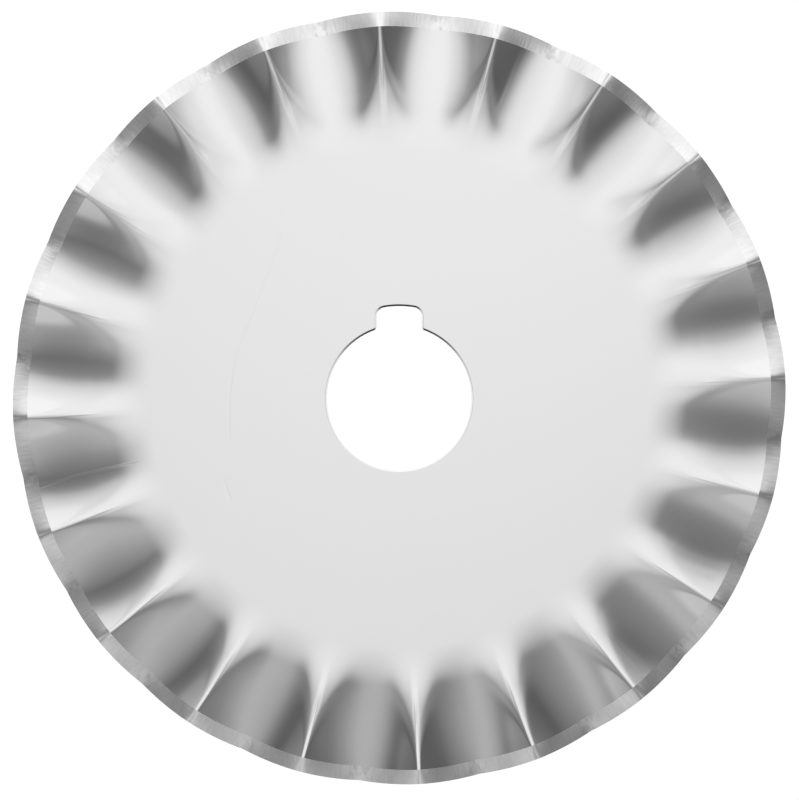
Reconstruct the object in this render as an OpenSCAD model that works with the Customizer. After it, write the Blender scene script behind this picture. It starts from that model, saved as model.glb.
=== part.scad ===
// Rotary cutter blade: one stamped and ground disc with a ridged rim.
// The sheet's mid-plane is z = 0 and the bore's axis is the Z axis.
// The notch points along +Y, and the ridges stand up on the +Z side.

/* [Disc] */
// Diameter of the cutting edge
edge_d = 45; // [42:0.5:60]
// Thickness of the sheet
sheet_t = 0.3; // [0.2:0.05:0.5]

/* [Bore] */
// Diameter of the bore
bore_d = 8.4; // [6:0.1:10]
// Width of the notch in the bore's wall
notch_w = 2.6; // [1.6:0.1:3.6]
// Distance from the bore's axis to the notch's arched end
notch_reach = 5.35; // [5.2:0.05:7]
// Radius of the notch's two outer corners
notch_corner_r = 0.5; // [0.2:0.05:0.7]
// Radius of the sheet's corners where the notch opens into the bore
notch_mouth_r = 0.25; // [0.05:0.05:0.5]

/* [Waves] */
// Number of ridges around the rim
waves = 20; // [16:1:28]
// Angle of the first ridge from +X
wave_phase = 3; // [0:1:17]
// Radius at which the flat middle ends
flat_r = 14.5; // [13:0.1:16]
// Distance over which the flat middle bends into the waves
bend_w = 3.5; // [1:0.1:4.5]
// Radius from which the valleys' floors fall in a straight line
fall_start_r = 17.4; // [16:0.1:18.5]
// Fall of a valley's floor for each millimetre outward
valley_fall = 0.17; // [0.1:0.01:0.4]
// Depth of a valley's floor under the flat face, at the edge
valley_depth = 0.8; // [0.4:0.05:1.4]
// Roundness of a valley's section: 2 is a parabola
valley_power = 2.9; // [1.5:0.05:4]
// Height over which a valley's floor blends into what lies beside it
blend_h = 0.07; // [0.03:0.01:0.4]
// Radius at which the ridges start to rise
ridge_start_r = 18.6; // [17:0.1:19.5]
// Height of a ridge over the flat face, at the edge
ridge_h = 0.2; // [0:0.05:0.8]
// How sharply a ridge stands out of what lies beside it: 0 lifts the valleys along with it
ridge_power = 2; // [0:0.5:6]
// Half width of the rounded top of a ridge
ridge_round = 0.05; // [0.03:0.01:0.3]

/* [Ground edge] */
// Width of the band that is ground on each side
bevel_w = 0.85; // [0.4:0.05:1.5]
// How far the outline is drawn in at each valley
outline_dip = 0.12; // [0:0.01:0.2]
// How far the cutting edge is bent out of the sheet, down at ridges and valleys and up between them
edge_bend = 0.1; // [0:0.01:0.14]
// How far the ridges droop toward the cutting edge
edge_droop = 0.25; // [0:0.05:0.4]
// Half width of the rounded top of a ridge at the cutting edge
edge_round = 0.25; // [0.05:0.05:0.6]

/* [Hidden] */
// Steps across one wave, from ridge to ridge
wave_steps = 10;
// Rings from the flat centre to the ground band
wave_rings = 9;
// How much closer together the steps lie beside a ridge
step_bias = 1.35;
// Distances over which the valleys' floors and the ridges start to move
fall_soft = 1.2;
rise_soft = 2.2;
edge_r = edge_d / 2;
pitch = 360 / waves;
cut = sheet_t + 1;
bore_fn = 96;
corner_fn = 48;

// A ramp that is 0 below zero and y above it, rounded over the distance k
function soft(y, k) = (y + sqrt(y * y + k * k)) / 2;
// How much of the wave there is at radius r, from 0 in the flat middle to 1
function share(r) =
    let (t = min(1, max(0, (r - flat_r) / bend_w)))
    t * t * (3 - 2 * t);
// Height of the ridge line over the flat face
function crest(r, side) =
    pow(side, ridge_power) *
    ridge_h * soft(r - ridge_start_r, rise_soft) / (edge_r - ridge_start_r);
// Place across a valley, 0 in its middle and 1 on the ridge, with the ridge's top rounded
function place(r, side, round) =
    let (
        half = r * PI / waves,
        gap = half * (1 - side)
    )
    min(1, max(0, 1 - (sqrt(gap * gap + round * round) - round) / half));
// Height of the sheet's mid-surface at radius r, for a side of 0 in a valley to 1 on a ridge
function height(r, side, round = ridge_round) =
    let (
        wall = valley_depth * pow(r / edge_r, 3),
        fall = valley_fall * soft(r - fall_start_r, fall_soft),
        over = wall * pow(place(r, side, round), valley_power)
    )
    share(r) * (crest(r, side) - soft(fall - over, blend_h) + soft(fall - wall, blend_h));
// Radius of the outline
function outline(side) = edge_r - outline_dip * pow(1 - side, 2);
// Height of the cutting edge
function edge_height(side) =
    height(outline(side), side, edge_round) + edge_bend * (2 * sin(180 * side) - 1) - edge_droop * side * side;

// Place of step i across its valley, from -1 to 1, with the steps closer at the ridges
function step_side(i) =
    let (t = 2 * i / wave_steps - 1)
    sign(t) * (1 - pow(1 - abs(t), step_bias));
// Each step's angle round the disc, and its side
steps = [for (k = [0:waves - 1], i = [0:wave_steps - 1]) [
    wave_phase + (k + 0.5 + step_side(i) / 2) * pitch,
    abs(step_side(i))
]];
n = len(steps);
// Ring j of the sheet's face, from the flat middle to the ground band
function face_ring(j, lift) = [for (s = steps)
    let (r = flat_r + (outline(s[1]) - bevel_w - flat_r) * j / wave_rings)
    [r * cos(s[0]), r * sin(s[0]), height(r, s[1]) + lift]];
function edge_ring() = [for (s = steps)
    let (r = outline(s[1]))
    [r * cos(s[0]), r * sin(s[0]), edge_height(s[1])]];

// The whole disc, ridged and ground, before it is pierced
module ridged_disc() {
    upper = [for (j = [0:wave_rings]) each face_ring(j, sheet_t / 2)];
    lower = [for (j = [wave_rings:-1:0]) each face_ring(j, -sheet_t / 2)];
    rows = 2 * wave_rings + 3;
    skin = [for (j = [0:rows - 2], i = [0:n - 1])
        let (
            a = j * n + i,
            b = j * n + (i + 1) % n
        )
        each [[a, b, a + n], [b, b + n, a + n]]];
    top = [[for (i = [n - 1:-1:0]) i]];
    bottom = [[for (i = [0:n - 1]) (rows - 1) * n + i]];
    polyhedron(points = concat(upper, edge_ring(), lower), faces = concat(skin, top, bottom));
}

// What rounds off the sheet's corner at one side of the notch's mouth
module mouth_corner() {
    wall_x = notch_w / 2;
    middle = [wall_x + notch_mouth_r, sqrt(pow(bore_d / 2 + notch_mouth_r, 2) - pow(wall_x + notch_mouth_r, 2))];
    touch = middle * bore_d / (bore_d + 2 * notch_mouth_r);
    inside_x = wall_x - notch_mouth_r;
    difference() {
        polygon([[inside_x, middle.y], middle, touch, [inside_x, touch.y]]);
        translate(middle) circle(r = notch_mouth_r, $fn = corner_fn);
    }
}

// Outline of the notch: straight sides, rounded corners and an end that follows the bore
module notch_outline() {
    corner_x = notch_w / 2 - notch_corner_r;
    corner_y = sqrt(pow(notch_reach - notch_corner_r, 2) - pow(corner_x, 2));
    translate([-notch_w / 2, 0]) square([notch_w, corner_y]);
    for (side = [-1, 1])
        translate([side * corner_x, corner_y]) circle(r = notch_corner_r, $fn = corner_fn);
    intersection() {
        circle(r = notch_reach, $fn = bore_fn);
        translate([-corner_x, 0]) square([2 * corner_x, notch_reach]);
    }
    for (side = [0, 1]) mirror([side, 0]) mouth_corner();
}

// The blade: the disc with its bore and notch
module blade() {
    color("silver")
        difference() {
            ridged_disc();
            translate([0, 0, -cut / 2]) cylinder(d = bore_d, h = cut, $fn = bore_fn);
            translate([0, 0, -cut / 2]) linear_extrude(cut) notch_outline();
        }
}

blade();
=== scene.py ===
import math

import bpy
import numpy as np
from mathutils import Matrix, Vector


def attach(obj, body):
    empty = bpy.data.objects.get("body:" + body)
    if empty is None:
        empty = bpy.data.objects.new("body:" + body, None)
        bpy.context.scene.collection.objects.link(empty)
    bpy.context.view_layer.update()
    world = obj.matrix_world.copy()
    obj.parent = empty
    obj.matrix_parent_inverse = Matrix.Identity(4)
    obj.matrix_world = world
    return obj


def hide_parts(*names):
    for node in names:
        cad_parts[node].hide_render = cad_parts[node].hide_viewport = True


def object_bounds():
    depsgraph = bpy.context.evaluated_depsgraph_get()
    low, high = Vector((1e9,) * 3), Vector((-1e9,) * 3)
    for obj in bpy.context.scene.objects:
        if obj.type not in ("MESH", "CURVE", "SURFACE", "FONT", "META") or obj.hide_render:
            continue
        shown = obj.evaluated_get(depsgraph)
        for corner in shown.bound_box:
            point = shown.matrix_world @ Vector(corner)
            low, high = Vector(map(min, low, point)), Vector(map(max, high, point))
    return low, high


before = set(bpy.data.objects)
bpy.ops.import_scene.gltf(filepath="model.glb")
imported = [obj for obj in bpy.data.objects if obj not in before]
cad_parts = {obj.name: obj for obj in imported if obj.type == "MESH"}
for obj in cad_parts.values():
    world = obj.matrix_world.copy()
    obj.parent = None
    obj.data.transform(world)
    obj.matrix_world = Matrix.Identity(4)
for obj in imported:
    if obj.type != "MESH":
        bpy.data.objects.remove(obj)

CAD_BOX = [list(corner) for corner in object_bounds()]
MM = 0.001

# Sizes of the blade in millimetres, the same as the solid's
EDGE_R = 22.5
SHEET_T = 0.3
BORE_R = 4.2
NOTCH_W = 2.6
NOTCH_REACH = 5.35
NOTCH_CORNER_R = 0.5
NOTCH_MOUTH_R = 0.25
WAVES = 20
WAVE_PHASE = 3.0
FLAT_R = 14.5
BEND_W = 3.5
FALL_START_R = 17.4
VALLEY_FALL = 0.17
VALLEY_DEPTH = 0.8
VALLEY_POWER = 2.9
BLEND_H = 0.07
RIDGE_START_R = 18.6
RIDGE_H = 0.2
RIDGE_POWER = 2
BEVEL_W = 0.85
OUTLINE_DIP = 0.12
EDGE_BEND = 0.1
EDGE_DROOP = 0.25
EDGE_ROUND = 0.25
FALL_SOFT = 1.2
RISE_SOFT = 2.2
# The pierced edge rolls over a little where the punch went in
ROLL_W = 0.1
ROLL_H = 0.094
ROLL_GUARD = 0.012
# Where the roll's rows of points lie across it, from the bore outward
ROLL_PLACES = (0, 0.5, 0.96, 1)

# A ridge's flat top, the softness of its shoulders, and the fine dip on each side of it
CREST_W = 0.15
CREST_SOFT = 0.04
DIP_H = 0.003
DIP_W = 0.1
DIP_OUT = 0.7
DIP_INNER_R = 17.0
DIP_FULL_R = 18.6

# How finely the mesh follows the waves
HALF_STEPS = 18
STEP_BIAS = 2.2
FACE_RINGS = 50
BAND_RINGS = 4
CENTRE_RINGS = 4
# Points along half of the bore, a corner or half of the notch's end
BORE_POINTS = 400
CORNER_POINTS = 20
END_POINTS = 40
# Places of the finishes in the mesh's list of materials
FACE_SLOT = 0
BAND_SLOT = 1
WALL_SLOT = 2

# The photograph's frame, in its own pixels
FRAME_W = 799
FRAME_H = 800
DISC_X = 399.2
DISC_Y = 398.0
DISC_R = 386.7
CAMERA_H = 0.9
SENSOR_W = 36.0


# Shape of the rim

def soft(y, k):
    """A ramp that is 0 below zero and y above it, rounded over the distance k."""
    return (y + np.sqrt(y * y + k * k)) / 2


def share(r):
    """How much of the wave there is at a radius, from 0 in the flat middle to 1."""
    t = np.clip((r - FLAT_R) / BEND_W, 0, 1)
    return t * t * (3 - 2 * t)


def crest(r, near):
    """How much a ridge lifts the sheet near it."""
    return near ** RIDGE_POWER * RIDGE_H * soft(r - RIDGE_START_R, RISE_SOFT) / (EDGE_R - RIDGE_START_R)


def step(value, low, high):
    """A smooth step from 0 at low to 1 at high."""
    t = np.clip((value - low) / (high - low), 0, 1)
    return t * t * (3 - 2 * t)


def flat_topped(gap):
    """The distance to a ridge's line, nearly nothing over the ridge's flat top."""
    return soft(gap - CREST_W, CREST_SOFT) - soft(-CREST_W, CREST_SOFT)


def round_topped(gap):
    """The distance to a ridge's line, with the ridge's top rounded."""
    return np.sqrt(gap * gap + EDGE_ROUND ** 2) - EDGE_ROUND


def place(r, side, top):
    """How near a ridge lies, from 0 in a valley to 1 on the ridge."""
    half = r * np.pi / WAVES
    return np.clip(1 - top(half * (1 - side)) / half, 0, 1)


def dip(r, side):
    """How far the sheet dips beside a ridge's top."""
    gap = r * np.pi / WAVES * (1 - side)
    start = CREST_W * step(r, DIP_FULL_R, EDGE_R)
    across = step(gap, start, start + DIP_W) - step(gap, start + DIP_W, DIP_OUT)
    return DIP_H * step(r, DIP_INNER_R, DIP_FULL_R) * across


def height(r, side, top=flat_topped):
    """Height of the sheet's mid-surface, for a side of 0 in a valley to 1 on a ridge."""
    wall = VALLEY_DEPTH * (r / EDGE_R) ** 3
    fall = VALLEY_FALL * soft(r - FALL_START_R, FALL_SOFT)
    near = place(r, side, top)
    over = wall * near ** VALLEY_POWER
    return share(r) * (crest(r, near) - soft(fall - over, BLEND_H) + soft(fall - wall, BLEND_H))


def outline(side):
    """Radius of the cutting edge."""
    return EDGE_R - OUTLINE_DIP * (1 - side) ** 2


def edge_height(side):
    """Height of the cutting edge, bent a little out of the sheet's middle."""
    bend = EDGE_BEND * (2 * np.sin(np.pi * side) - 1) - EDGE_DROOP * side ** 2
    return height(outline(side), side, round_topped) + bend


def wave_steps():
    """Angles round the disc in radians, and each one's side, closer together at the ridges."""
    t = np.arange(2 * HALF_STEPS) / HALF_STEPS - 1
    across = np.sign(t) * (1 - (1 - np.abs(t)) ** STEP_BIAS)
    turns = [WAVE_PHASE + (k + 0.5 + across / 2) * 360 / WAVES for k in range(WAVES)]
    return np.radians(np.concatenate(turns)), np.tile(np.abs(across), WAVES)


# Outline of the bore and its notch

def arc(cx, cy, r, start, end, count):
    a = np.radians(np.linspace(start, end, count))
    return np.stack([cx + r * np.cos(a), cy + r * np.sin(a)], axis=1)


def bore_outline(angles):
    """Points of the bore's wall, one for each angle, spaced evenly along it."""
    half = NOTCH_W / 2
    mouth_x = half + NOTCH_MOUTH_R
    mouth_y = math.sqrt((BORE_R + NOTCH_MOUTH_R) ** 2 - mouth_x ** 2)
    touch = math.degrees(math.atan2(mouth_y, mouth_x))
    corner_x = half - NOTCH_CORNER_R
    corner_y = math.sqrt((NOTCH_REACH - NOTCH_CORNER_R) ** 2 - corner_x ** 2)
    top = math.degrees(math.atan2(corner_y, corner_x))
    right = [
        arc(0, 0, BORE_R, -90, touch, BORE_POINTS),
        arc(mouth_x, mouth_y, NOTCH_MOUTH_R, touch + 180, 180, CORNER_POINTS)[1:],
        arc(corner_x, corner_y, NOTCH_CORNER_R, 0, top, CORNER_POINTS),
        arc(0, 0, NOTCH_REACH, top, 90, END_POINTS)[1:],
    ]
    right = np.concatenate(right)
    left = right[::-1][1:] * [-1, 1]
    loop = np.concatenate([right, left])
    walked = np.r_[0, np.cumsum(np.hypot(*np.diff(loop, axis=0).T))]
    # Equal steps along the wall, starting straight down as the first angle does
    turn = (np.degrees(angles) + 90) % 360 / 360
    along = turn * walked[-1]
    return np.stack([np.interp(along, walked, loop[:, i]) for i in (0, 1)], axis=1)


def grown(ring, distance):
    """The ring moved into the metal by a distance, square to itself."""
    along = np.roll(ring, -1, axis=0) - np.roll(ring, 1, axis=0)
    along /= np.hypot(along[:, 0], along[:, 1])[:, None]
    return ring + distance * np.stack([along[:, 1], -along[:, 0]], axis=1)


# The mesh is rows of points round the disc: out over the upper face, and back under it

def polar_row(angles, r, z):
    r = np.broadcast_to(r, angles.shape)
    z = np.broadcast_to(z, angles.shape)
    return np.stack([r * np.cos(angles), r * np.sin(angles), z], axis=1)


def centre_rows(angles, up):
    """The flat middle, from the bore's rolled edge to the start of the waves."""
    wall = bore_outline(angles)
    rows = []
    for t in ROLL_PLACES:
        ring = grown(wall, ROLL_W * t)
        drop = ROLL_H * (1 - t)
        rows.append(np.c_[ring, np.full(len(ring), up * (SHEET_T / 2 - drop))])
    guard = np.c_[grown(wall, ROLL_W + ROLL_GUARD), np.full(len(wall), up * SHEET_T / 2)]
    rows.append(guard)
    outer = polar_row(angles, FLAT_R, up * SHEET_T / 2)
    for i in range(1, CENTRE_RINGS):
        rows.append(guard + (outer - guard) * i / CENTRE_RINGS)
    return rows


def face_rows(angles, side, up):
    """The waved sheet, from the flat middle to the ground band."""
    rows = []
    for i in range(FACE_RINGS + 1):
        r = FLAT_R + (outline(side) - BEVEL_W - FLAT_R) * i / FACE_RINGS
        rows.append(polar_row(angles, r, height(r, side) - dip(r, side) + up * SHEET_T / 2))
    return rows


def band_rows(angles, side, up):
    """The ground band, straight from the face to the cutting edge."""
    r = outline(side)
    inner = polar_row(angles, r - BEVEL_W, height(r - BEVEL_W, side) + up * SHEET_T / 2)
    edge = polar_row(angles, r, edge_height(side))
    return [inner + (edge - inner) * i / BAND_RINGS for i in range(1, BAND_RINGS)]


def build_blade():
    angles, side = wave_steps()
    edge = polar_row(angles, outline(side), edge_height(side))
    upper = [(row, "face") for row in centre_rows(angles, 1) + face_rows(angles, side, 1)]
    upper += [(row, "band") for row in band_rows(angles, side, 1)]
    lower = [(row, "face") for row in centre_rows(angles, -1) + face_rows(angles, side, -1)]
    lower += [(row, "band") for row in band_rows(angles, side, -1)]
    rows = [row for row, kind in upper] + [edge] + [row for row, kind in lower[::-1]]
    kinds = [kind for row, kind in upper] + ["band"] + [kind for row, kind in lower[::-1]]
    count, n = len(rows), len(angles)
    points = np.concatenate(rows) * MM
    face_end = len(upper) - BAND_RINGS
    i = np.arange(n)
    after = (i + 1) % n
    faces, slots = [], []
    for j in range(count):
        k = (j + 1) % count
        faces.append(np.stack([j * n + i, k * n + i, k * n + after, j * n + after], axis=1))
        wall = k == 0
        band = "band" in (kinds[j], kinds[k])
        slots.append(np.full(n, WALL_SLOT if wall else BAND_SLOT if band else FACE_SLOT))
    mesh = bpy.data.meshes.new("blade_skin")
    mesh.from_pydata(points.tolist(), [], np.concatenate(faces).tolist())
    mesh.polygons.foreach_set("material_index", np.concatenate(slots).astype(np.int32))
    mesh.polygons.foreach_set("use_smooth", np.ones(len(mesh.polygons), dtype=bool))
    sharp_rows = (0, face_end, len(upper), count - 1 - face_end, count - 1)
    mark_sharp(mesh, n, sharp_rows)
    mesh.validate()
    mesh.update()
    piece = bpy.data.objects.new("blade_skin", mesh)
    bpy.context.scene.collection.objects.link(piece)
    return piece


def mark_sharp(mesh, n, rows):
    """Marks the edges that run along the given rows as sharp."""
    ends = np.zeros(len(mesh.edges) * 2, dtype=np.int32)
    mesh.edges.foreach_get("vertices", ends)
    row = ends.reshape(-1, 2) // n
    sharp = (row[:, 0] == row[:, 1]) & np.isin(row[:, 0], rows)
    layer = mesh.attributes.new("sharp_edge", "BOOLEAN", "EDGE")
    layer.data.foreach_set("value", sharp)


# Materials

class Nodes:
    """Short calls for building a node tree."""

    def __init__(self, tree):
        self.tree = tree
        tree.nodes.clear()

    def add(self, kind, **values):
        node = self.tree.nodes.new(kind)
        for name, value in values.items():
            setattr(node, name, value)
        return node

    def link(self, source, target):
        self.tree.links.new(source, target)

    def feed(self, node, index, value):
        if isinstance(value, bpy.types.NodeSocket):
            self.link(value, node.inputs[index])
        else:
            node.inputs[index].default_value = value

    def math(self, operation, *values, clamp=False):
        node = self.add("ShaderNodeMath", operation=operation, use_clamp=clamp)
        for i, value in enumerate(values):
            self.feed(node, i, value)
        return node.outputs[0]

    def ramp(self, value, low, high):
        """A smooth step from 0 at low to 1 at high."""
        node = self.add("ShaderNodeMapRange", interpolation_type="SMOOTHSTEP")
        self.feed(node, 0, value)
        node.inputs[1].default_value = low
        node.inputs[2].default_value = high
        return node.outputs[0]

    def blend(self, share, first, second):
        """Goes from first to second as share goes from 0 to 1."""
        node = self.add("ShaderNodeMix", data_type="FLOAT")
        self.feed(node, 0, share)
        self.feed(node, 2, first)
        self.feed(node, 3, second)
        return node.outputs[0]

    def length(self, x, y):
        squares = self.math("ADD", self.math("MULTIPLY", x, x), self.math("MULTIPLY", y, y))
        return self.math("SQRT", squares)

    def combine(self, x, y, z):
        node = self.add("ShaderNodeCombineXYZ")
        for i, value in enumerate((x, y, z)):
            self.feed(node, i, value)
        return node.outputs[0]

    def noise(self, vector, scale, detail=2.0, roughness=0.5):
        node = self.add("ShaderNodeTexNoise")
        self.link(vector, node.inputs["Vector"])
        node.inputs["Scale"].default_value = scale
        node.inputs["Detail"].default_value = detail
        node.inputs["Roughness"].default_value = roughness
        return node.outputs["Fac"]


def position(nodes):
    """The surface point's place in millimetres, from the bore's axis."""
    place_node = nodes.add("ShaderNodeTexCoord")
    split = nodes.add("ShaderNodeSeparateXYZ")
    nodes.link(place_node.outputs["Object"], split.inputs[0])
    return [nodes.math("DIVIDE", split.outputs[axis], MM) for axis in (0, 1)]


def steel(name, roughness, grey):
    material = bpy.data.materials.new(name)
    material.use_nodes = True
    nodes = Nodes(material.node_tree)
    shader = nodes.add("ShaderNodeBsdfPrincipled")
    shader.inputs["Metallic"].default_value = 1.0
    shader.inputs["Roughness"].default_value = roughness
    shader.inputs["Base Color"].default_value = (grey, grey, grey, 1)
    output = nodes.add("ShaderNodeOutputMaterial")
    nodes.link(shader.outputs[0], output.inputs[0])
    return material, nodes, shader


def add_bump(nodes, shader, relief, strength, distance):
    bump = nodes.add("ShaderNodeBump")
    bump.inputs["Strength"].default_value = strength
    bump.inputs["Distance"].default_value = distance
    nodes.link(relief, bump.inputs["Height"])
    nodes.link(bump.outputs[0], shader.inputs["Normal"])


def line_share(nodes, x, y, points, width):
    """1 on a line through the points, falling to 0 at the width beside it."""
    nearest = None
    for (x0, y0), (x1, y1) in zip(points, points[1:]):
        run_x, run_y = x1 - x0, y1 - y0
        across_x = nodes.math("SUBTRACT", x, x0)
        across_y = nodes.math("SUBTRACT", y, y0)
        along_x = nodes.math("MULTIPLY", across_x, run_x)
        along_y = nodes.math("MULTIPLY", across_y, run_y)
        along = nodes.math("ADD", along_x, along_y)
        t = nodes.math("DIVIDE", along, run_x ** 2 + run_y ** 2, clamp=True)
        off_x = nodes.math("SUBTRACT", across_x, nodes.math("MULTIPLY", t, run_x))
        off_y = nodes.math("SUBTRACT", across_y, nodes.math("MULTIPLY", t, run_y))
        away = nodes.length(off_x, off_y)
        nearest = away if nearest is None else nodes.math("MINIMUM", nearest, away)
    return nodes.math("SUBTRACT", 1.0, nodes.ramp(nearest, 0.0, width))


def at(angle, r):
    """A place on the face, by its angle in degrees and its distance from the axis."""
    return r * math.cos(math.radians(angle)), r * math.sin(math.radians(angle))


# Distance over which a line fades in at its inner end
LINE_FADE = 0.8
# Lines left by use and by the press: how deep each is in micrometres, how wide in millimetres,
# the radius at which it starts, and its path
LINES = (
    (0.6, 0.10, 0.0, ((-6.9, 9.4), (-8.1, 6.1), (-9.0, 3.85), (-9.57, 2.4), (-9.9, 0.0), (-9.87, -2.45))),
    (0.6, 0.12, 0.0, ((-10.2, -4.8), (-9.8, -6.0))),
    (2.6, 0.10, 15.4, (at(193.65, 15.4), at(193.5, 19.5), at(194.0, 21.6))),
    (3.0, 0.14, 18.1, (at(311.4, 18.1), at(311.6, 21.5))),
    (5.0, 0.35, 20.5, (at(330.0, 20.5), at(329.6, 21.55))),
    (2.0, 0.30, 20.2, (at(346.5, 20.2), at(346.0, 21.6))),
    (2.5, 0.22, 17.6, (at(71.5, 17.6), at(71.0, 21.5))),
    (2.5, 0.22, 18.4, (at(73.5, 18.4), at(73.8, 21.5))),
)


# Grey and roughness of each finish
FACE_GREY = 0.86
FACE_ROUGHNESS = 0.09
BAND_GREY = 0.9
BAND_ROUGHNESS = 0.34
WALL_GREY = 0.6
WALL_ROUGHNESS = 0.45
MICROMETRE = 0.000001
# The face's slight unevenness, for each millimetre and in micrometres
RIPPLE_SCALE = 0.6
RIPPLE_H = 0.5
# The grinding marks of the band: how fine, how much longer than wide, how deep in micrometres, and how dark
MARK_SCALE = 5.0
MARK_STRETCH = 0.2
MARK_H = 12
MARK_DARK = 0.1
# The dark smears in each valley's part of the band, and how far beside the valley's middle they reach
SMEAR_SCALE = 2.2
SMEAR_STRETCH = 0.6
SMEAR_DARK = 0.2
SMEAR_FULL = 0.03
SMEAR_REACH = 0.28
# The grain of the bore's sheared wall
SHEAR_SCALE = 8.0
SHEAR_H = 30


def polished_face():
    """Nearly even, with the lines that use and the press have left."""
    material, nodes, shader = steel("polished_face", FACE_ROUGHNESS, FACE_GREY)
    x, y = position(nodes)
    r = nodes.length(x, y)
    ripple = nodes.noise(nodes.combine(x, y, 0.0), RIPPLE_SCALE, detail=3)
    relief = nodes.math("MULTIPLY", ripple, RIPPLE_H)
    for depth, width, start_r, path in LINES:
        line = line_share(nodes, x, y, path, width)
        line = nodes.math("MULTIPLY", line, nodes.ramp(r, start_r, start_r + LINE_FADE))
        relief = nodes.math("SUBTRACT", relief, nodes.math("MULTIPLY", line, depth))
    add_bump(nodes, shader, relief, 1.0, MICROMETRE)
    return material


def valley_side(nodes, turn):
    """0 in the middle of a valley and 1 on a ridge, by the angle round the disc."""
    wave = nodes.math("SUBTRACT", turn, math.radians(WAVE_PHASE))
    wave = nodes.math("FRACT", nodes.math("DIVIDE", wave, 2 * math.pi / WAVES))
    return nodes.math("ABSOLUTE", nodes.math("SUBTRACT", nodes.math("MULTIPLY", wave, 2.0), 1.0))


def ground_band():
    """Fine marks that run in toward the axis, with smears where two halves of a valley meet."""
    material, nodes, shader = steel("ground_band", BAND_ROUGHNESS, BAND_GREY)
    x, y = position(nodes)
    r = nodes.length(x, y)
    turn = nodes.math("ARCTAN2", y, x)
    round_mm = nodes.math("MULTIPLY", turn, EDGE_R)
    mark_place = nodes.combine(round_mm, nodes.math("MULTIPLY", r, MARK_STRETCH), 0.0)
    marks = nodes.noise(mark_place, MARK_SCALE, detail=5, roughness=0.65)
    add_bump(nodes, shader, marks, 1.0, MARK_H * MICROMETRE)
    smear_place = nodes.combine(round_mm, nodes.math("MULTIPLY", r, SMEAR_STRETCH), 3.0)
    smears = nodes.noise(smear_place, SMEAR_SCALE, detail=4, roughness=0.6)
    in_valley = nodes.math("SUBTRACT", 1.0, nodes.ramp(valley_side(nodes, turn), SMEAR_FULL, SMEAR_REACH))
    dark = nodes.math("MULTIPLY", nodes.ramp(smears, 0.42, 0.62), in_valley)
    dark = nodes.math("MULTIPLY", dark, SMEAR_DARK)
    grain = nodes.math("MULTIPLY", nodes.ramp(marks, 0.3, 0.7), MARK_DARK)
    tone = nodes.math("SUBTRACT", nodes.math("SUBTRACT", 1.0, grain), dark)
    nodes.link(nodes.combine(tone, tone, tone), shader.inputs["Base Color"])
    return material


def sheared_wall():
    """Dull and a little rough, as the punch leaves it."""
    material, nodes, shader = steel("sheared_wall", WALL_ROUGHNESS, WALL_GREY)
    x, y = position(nodes)
    grain = nodes.noise(nodes.combine(x, y, 0.0), SHEAR_SCALE, detail=3)
    add_bump(nodes, shader, grain, 0.5, SHEAR_H * MICROMETRE)
    return material


# Light, floor and camera

# How bright the studio is, as the grey that polished steel shows there:
# straight above, toward the far and the near side of it
ABOVE_FAR = 0.94
ABOVE_NEAR = 0.89
ABOVE_REACH = 0.01
# Then in rings all round, by direction in degrees from +X, each lower than the one before
INNER_RING = (
    (-180, 0.45), (-160, 0.55), (-130, 0.65), (-100, 0.67), (-75, 0.58), (-40, 0.49), (-10, 0.49),
    (0, 0.52), (20, 0.72), (40, 0.85), (60, 0.90), (90, 0.93), (115, 0.86), (140, 0.72), (160, 0.52),
    (180, 0.45),
)
OUTER_RING = (
    (-180, 0.36), (-160, 0.40), (-140, 0.50), (-120, 0.61), (-90, 0.68), (-60, 0.58), (-35, 0.46),
    (-15, 0.38), (0, 0.35), (20, 0.49), (40, 0.76), (60, 0.88), (90, 0.93), (120, 0.87), (140, 0.72),
    (160, 0.47), (180, 0.36),
)
# The ring that only steep flanks and the ground band mirror
BAND_RING = (
    (-180, 0.38), (-150, 0.54), (-120, 0.74), (-105, 0.76), (-90, 0.73), (-70, 0.64), (-55, 0.55),
    (-30, 0.45), (0, 0.36), (30, 0.58), (60, 0.90), (90, 0.96), (120, 0.92), (150, 0.62), (180, 0.38),
)
# The lowest ring, which from above only the rolled edge of the bore mirrors
LOW_RING = (
    (-180, 0.93), (-150, 0.80), (-120, 0.30), (-90, 0.15), (-60, 0.30), (-30, 0.80), (0, 0.93),
    (90, 0.99), (180, 0.93),
)
# Tilt of the surface at which it mirrors each ring, and where the lowest one begins and is all
INNER_TILT = 0.065
OUTER_TILT = 0.30
BAND_TILT = 0.42
LOW_START = 0.75
LOW_TILT = 0.88
# Keeps a direction straight down from dividing by nothing
LEAST_DEPTH = 0.05
DISPLAY_GAMMA = 2.2

# The floor's half width, its own grey, and how bright it looks
FLOOR_HALF = 1.5
FLOOR_GREY = 0.3
FLOOR_GLOW = 0.88


def light_level(grey):
    """The light that polished steel shows as the grey."""
    return grey ** DISPLAY_GAMMA / FACE_GREY


def ring_light(nodes, turn, levels):
    """The light of one ring, by how far round it a direction lies."""
    ring = nodes.add("ShaderNodeFloatCurve")
    nodes.link(turn, ring.inputs["Value"])
    points = ring.mapping.curves[0].points
    for i, (angle, grey) in enumerate(levels):
        spot = (angle / 360 + 0.5, light_level(grey))
        if i < 2:
            points[i].location = spot
        else:
            points.new(*spot)
    ring.mapping.update()
    return ring.outputs[0]


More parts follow.
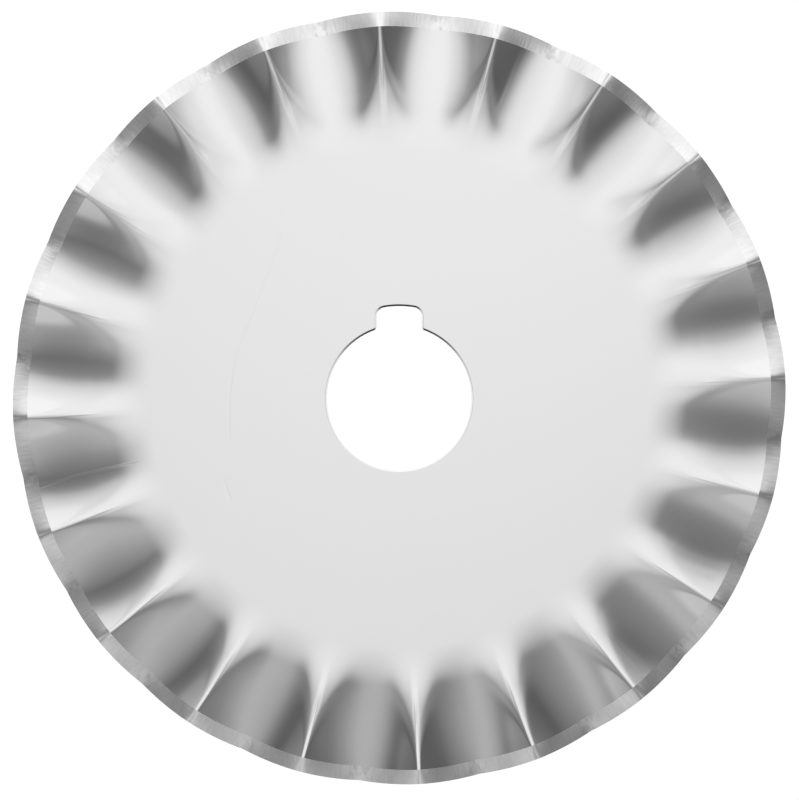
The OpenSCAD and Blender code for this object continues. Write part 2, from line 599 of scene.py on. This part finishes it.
def studio():
    """A soft box overhead that runs down behind the object, dark sides and a dim front."""
    world = bpy.data.worlds.new("studio")
    bpy.context.scene.world = world
    world.use_nodes = True
    nodes = Nodes(world.node_tree)
    ray = nodes.add("ShaderNodeTexCoord")
    split = nodes.add("ShaderNodeSeparateXYZ")
    nodes.link(ray.outputs["Generated"], split.inputs[0])
    depth = nodes.math("MAXIMUM", nodes.math("ADD", split.outputs[2], 1.0), LEAST_DEPTH)
    tilt_x = nodes.math("DIVIDE", split.outputs[0], depth)
    tilt_y = nodes.math("DIVIDE", split.outputs[1], depth)
    tilt = nodes.length(tilt_x, tilt_y)
    far = nodes.ramp(tilt_y, -ABOVE_REACH, ABOVE_REACH)
    above = nodes.blend(far, light_level(ABOVE_NEAR), light_level(ABOVE_FAR))
    turn = nodes.math("DIVIDE", nodes.math("ARCTAN2", tilt_y, tilt_x), 2 * math.pi)
    turn = nodes.math("ADD", turn, 0.5)
    around = ring_light(nodes, turn, INNER_RING)
    lower_rings = (
        (INNER_TILT, OUTER_TILT, OUTER_RING),
        (OUTER_TILT, BAND_TILT, BAND_RING),
        (LOW_START, LOW_TILT, LOW_RING),
    )
    for start, full, ring in lower_rings:
        around = nodes.blend(nodes.ramp(tilt, start, full), around, ring_light(nodes, turn, ring))
    level = nodes.blend(nodes.ramp(tilt, 0.0, INNER_TILT), above, around)
    shine = nodes.add("ShaderNodeBackground")
    shine.inputs["Color"].default_value = (1, 1, 1, 1)
    nodes.link(level, shine.inputs["Strength"])
    white = nodes.add("ShaderNodeBackground")
    white.inputs["Color"].default_value = (1, 1, 1, 1)
    path = nodes.add("ShaderNodeLightPath")
    pick = nodes.add("ShaderNodeMixShader")
    nodes.link(path.outputs["Is Camera Ray"], pick.inputs[0])
    nodes.link(shine.outputs[0], pick.inputs[1])
    nodes.link(white.outputs[0], pick.inputs[2])
    output = nodes.add("ShaderNodeOutputWorld")
    nodes.link(pick.outputs[0], output.inputs[0])


def floor():
    """A white floor that the blade lies on, and that keeps its shadow."""
    material = bpy.data.materials.new("white_floor")
    material.use_nodes = True
    nodes = Nodes(material.node_tree)
    matt = nodes.add("ShaderNodeBsdfDiffuse")
    matt.inputs["Color"].default_value = (FLOOR_GREY, FLOOR_GREY, FLOOR_GREY, 1)
    glow = nodes.add("ShaderNodeEmission")
    path = nodes.add("ShaderNodeLightPath")
    seen = nodes.math("ADD", path.outputs["Is Camera Ray"], path.outputs["Is Glossy Ray"])
    seen = nodes.math("ADD", seen, path.outputs["Is Transmission Ray"], clamp=True)
    nodes.link(nodes.math("MULTIPLY", seen, FLOOR_GLOW), glow.inputs["Strength"])
    both = nodes.add("ShaderNodeAddShader")
    nodes.link(matt.outputs[0], both.inputs[0])
    nodes.link(glow.outputs[0], both.inputs[1])
    output = nodes.add("ShaderNodeOutputMaterial")
    nodes.link(both.outputs[0], output.inputs[0])
    half = FLOOR_HALF
    low = CAD_BOX[0][2]
    mesh = bpy.data.meshes.new("floor")
    corners = [(-half, -half, low), (half, -half, low), (half, half, low), (-half, half, low)]
    mesh.from_pydata(corners, [], [(0, 1, 2, 3)])
    mesh.materials.append(material)
    plane = bpy.data.objects.new("floor", mesh)
    bpy.context.scene.collection.objects.link(plane)


def camera():
    """Looks straight down, with the disc as large and as placed as in the photograph."""
    data = bpy.data.cameras.new("camera")
    data.sensor_width = SENSOR_W
    data.sensor_fit = "HORIZONTAL"
    pixel = EDGE_R * MM / DISC_R
    data.lens = SENSOR_W * CAMERA_H / (FRAME_W * pixel)
    data.clip_start = 0.005
    data.clip_end = 50
    holder = bpy.data.objects.new("camera", data)
    holder.location = ((FRAME_W / 2 - DISC_X) * pixel, (DISC_Y - FRAME_H / 2) * pixel, CAMERA_H)
    bpy.context.scene.collection.objects.link(holder)
    bpy.context.scene.camera = holder


bpy.context.scene.view_settings.view_transform = "Standard"
blade = build_blade()
for finish in (polished_face(), ground_band(), sheared_wall()):
    blade.data.materials.append(finish)
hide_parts("blade")
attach(blade, "root")
studio()
floor()
camera()
